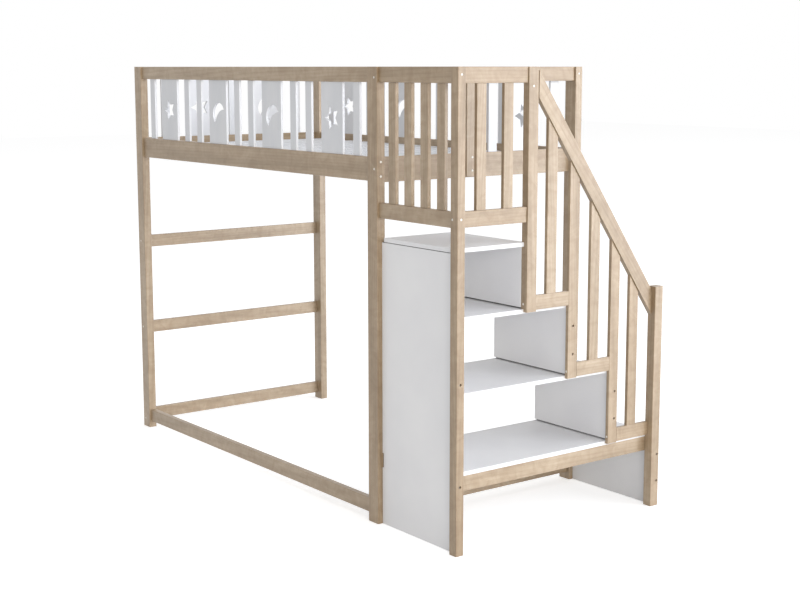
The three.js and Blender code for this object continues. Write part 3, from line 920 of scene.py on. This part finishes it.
# A riser has a shallow groove along its foot, whose back wall is painted near black as painted
# shade, so that it shows as a dark line
def addRisers():
    depth, height = boardShape["riserGroove"]
    for node in risers:
        low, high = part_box(node)
        piece = addBlock(node + "_white", low, high)
        easeBoard(piece)
        grooveLow = (low.x - overshoot, low.y - overshoot, low.z - overshoot)
        addGroove(piece, grooveLow, (high.x + overshoot, low.y + depth, low.z + height))
        finishPiece(piece, xAxis, whiteBoard, "white_board", node)


addPlainBoards()
addFrontPanel()
addPlatform()
addRisers()
print("boards of the stairs done")

# White guard slats with star and moon cut-outs

guardValues = {
    "widths": {"narrow": 0.044, "star": 0.150, "moon": 0.150},
    "thickness": 0.011,
    "edgeRadius": 0.0015,
    "endRadius": 0.0004,
    "rimWidth": 0.0006,  # of the bevel round a cut-out
    "rimSegments": 2,
    "rimAngle": 60,  # degrees, for the edges that the bevel picks
    "starPoints": 5,
    "starRadius": 0.051,
    "starInner": 0.5,  # of the radius
    "moonRadius": 0.050,
    "moonInnerRadius": 0.080,
    "moonThickness": 0.045,
    "moonTurn": math.atan2(0.78, -0.63),  # radians, the way that its round side looks
    "moonShift": (0.008, -0.009),
    "moonSteps": (32, 16),  # of the outer and the inner arc
    "cutterDepth": 0.06,
    "longPattern": ["narrow", "star", "narrow", "narrow", "moon", "narrow"],
    "leftPattern": ["narrow", "star", "narrow", "moon", "narrow"],
    "rightPattern": ["narrow", "star", "narrow"],
}


# Corners of a star with one point to the left
def starCorners():
    radius, points = guardValues["starRadius"], guardValues["starPoints"]
    corners = []
    for index in range(2 * points):
        reach = radius if index % 2 == 0 else radius * guardValues["starInner"]
        angle = math.pi + index * math.pi / points
        corners.append((reach * math.cos(angle), reach * math.sin(angle)))
    return corners


# Corners of a crescent between two arcs
def moonCorners():
    outer, inner = guardValues["moonRadius"], guardValues["moonInnerRadius"]
    turn = guardValues["moonTurn"]
    innerAlong = outer - guardValues["moonThickness"] - inner
    tipAlong = (outer**2 - inner**2 + innerAlong**2) / (2 * innerAlong)
    outerHalf = math.acos(tipAlong / outer)
    innerHalf = math.asin(math.sqrt(outer**2 - tipAlong**2) / inner)
    shiftX, shiftZ = guardValues["moonShift"]
    innerX = shiftX + innerAlong * math.cos(turn)
    innerZ = shiftZ + innerAlong * math.sin(turn)
    outerSteps, innerSteps = guardValues["moonSteps"]
    corners = []
    for step in range(outerSteps + 1):
        angle = turn - outerHalf + 2 * outerHalf * step / outerSteps
        corners.append((shiftX + outer * math.cos(angle), shiftZ + outer * math.sin(angle)))
    for step in range(1, innerSteps):
        angle = turn + innerHalf - 2 * innerHalf * step / innerSteps
        corners.append((innerX + inner * math.cos(angle), innerZ + inner * math.sin(angle)))
    return corners


# A cutter with the given outline in X and Z, long enough to pass through a slat
def addCutter(corners, centre):
    mesh = bpy.data.meshes.new("cutter")
    depth = guardValues["cutterDepth"]
    places = [(centre.x + x, centre.y - depth / 2, centre.z + z) for x, z in corners]
    mesh.from_pydata(places, [], [list(range(len(places)))])
    cutter = bpy.data.objects.new("cutter", mesh)
    scene.collection.objects.link(cutter)
    makeActive(cutter)
    bpy.ops.object.mode_set(mode="EDIT")
    bpy.ops.mesh.select_all(action="SELECT")
    bpy.ops.mesh.extrude_region_move(TRANSFORM_OT_translate={"value": (0, depth, 0)})
    bpy.ops.mesh.select_all(action="SELECT")
    bpy.ops.mesh.normals_make_consistent(inside=False)
    bpy.ops.object.mode_set(mode="OBJECT")
    return cutter


# One slat of each kind, standing on the origin, its width along X and its thickness along Y
def makeSlatKinds(height):
    kinds = {}
    half = guardValues["thickness"] / 2
    for kind, width in guardValues["widths"].items():
        slat = addBlock("slat_" + kind, (-width / 2, -half, 0), (width / 2, half, height))
        easeStick(slat, zAxis, guardValues["edgeRadius"], guardValues["endRadius"])
        if kind != "narrow":
            corners = starCorners() if kind == "star" else moonCorners()
            carve(slat, addCutter(corners, Vector((0, 0, height / 2))))
            rim = {"width": guardValues["rimWidth"], "segments": guardValues["rimSegments"]}
            angle = math.radians(guardValues["rimAngle"])
            applyModifier(slat, "BEVEL", limit_method="ANGLE", angle_limit=angle, **rim)
        kinds[kind] = slat
    return kinds


# Middles of the slats of a pattern, spread evenly from start to end. With gapOutside there is
# also a gap before the first slat and one after the last.
def slatMiddles(pattern, start, end, gapOutside):
    widths = [guardValues["widths"][kind] for kind in pattern]
    gaps = len(pattern) + (1 if gapOutside else -1)
    gap = (end - start - sum(widths)) / gaps
    middles = []
    left = start + (gap if gapOutside else 0)
    for width in widths:
        middles.append(left + width / 2)
        left += width + gap
    return middles


def addGuard(side, pattern, kinds):
    node = f"guard_{side}_slats"
    low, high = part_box(node)
    onLongSide = side in ("front", "back")
    if side == "right":
        clear = (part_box("guard_post_right")[1].y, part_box("post_back_right")[0].y)
        middles = slatMiddles(pattern, *clear, True)
    elif onLongSide:
        middles = slatMiddles(pattern, low.x, high.x, False)
    else:
        middles = slatMiddles(pattern, low.y, high.y, False)
    for number, (kind, middle) in enumerate(zip(pattern, middles), 1):
        slat = copyPiece(kinds[kind], f"guard_{side}_slat_{number}", (0, 0, 0))
        if onLongSide:
            move = Matrix.Translation((middle, (low.y + high.y) / 2, low.z))
            slat.data.transform(move)
        else:
            move = Matrix.Translation(((low.x + high.x) / 2, middle, low.z))
            slat.data.transform(move @ Matrix.Rotation(math.pi / 2, 4, "Z"))
        replaced = [node] if number == 1 else []
        finishPiece(slat, zAxis, whitePaint, "white_slat", *replaced)


# The slats of the right end hang from a batten behind the top rail
def addBatten():
    low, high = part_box("guard_right_slats")
    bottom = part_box("rail_right_top")[0].z
    piece = addBlock("guard_right_batten", (low.x, low.y, bottom), high)
    easeStick(piece, yAxis, guardValues["edgeRadius"], guardValues["endRadius"])
    finishPiece(piece, yAxis, whitePaint, "white_slat")


def addGuards():
    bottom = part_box("guard_front_slats")[0].z
    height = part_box("rail_front_top")[0].z - joinGap - bottom
    kinds = makeSlatKinds(height)
    longPattern = guardValues["longPattern"] + guardValues["longPattern"][::-1]
    addGuard("front", longPattern, kinds)
    addGuard("back", longPattern, kinds)
    addGuard("left", guardValues["leftPattern"], kinds)
    addGuard("right", guardValues["rightPattern"], kinds)
    addBatten()
    for slat in kinds.values():
        bpy.data.objects.remove(slat)


addGuards()
print("guard slats done")

# Slatted base

baseValues = {
    "count": 14,
    "slatWidth": 0.070,
    "slatThickness": 0.018,
    "edgeRadius": 0.003,
    "endRadius": 0.0006,
    "tapeWidth": 0.030,
    "tapeThickness": 0.002,
    "tapeInset": 0.150,
    "tapeEdgeRadius": 0.0008,
    "tapeEndRadius": 0.0004,
}


def addBase():
    low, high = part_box("slatted_base")
    width, count = baseValues["slatWidth"], baseValues["count"]
    bottom = high.z - baseValues["slatThickness"]
    pattern = addBlock("baseSlat", (low.x, low.y, bottom), (low.x + width, high.y, high.z))
    easeStick(pattern, yAxis, baseValues["edgeRadius"], baseValues["endRadius"])
    pitch = (high.x - low.x - width) / (count - 1)
    for number in range(count):
        slat = copyPiece(pattern, f"base_slat_{number + 1}", (number * pitch, 0, 0))
        replaced = ["slatted_base"] if number == 0 else []
        finishPiece(slat, yAxis, whitePaint, "base_slat", *replaced)
    bpy.data.objects.remove(pattern)
    inset, tapeWidth = baseValues["tapeInset"], baseValues["tapeWidth"]
    for name, start in (("front", low.y + inset), ("back", high.y - inset - tapeWidth)):
        tapeLow = (low.x, start, bottom - baseValues["tapeThickness"])
        tape = addBlock(f"base_tape_{name}", tapeLow, (high.x, start + tapeWidth, bottom))
        easeStick(tape, xAxis, baseValues["tapeEdgeRadius"], baseValues["tapeEndRadius"])
        finishPiece(tape, xAxis, webbing, "base_slat")


addBase()
print("slatted base done")

addBolts()
print("bolts done")
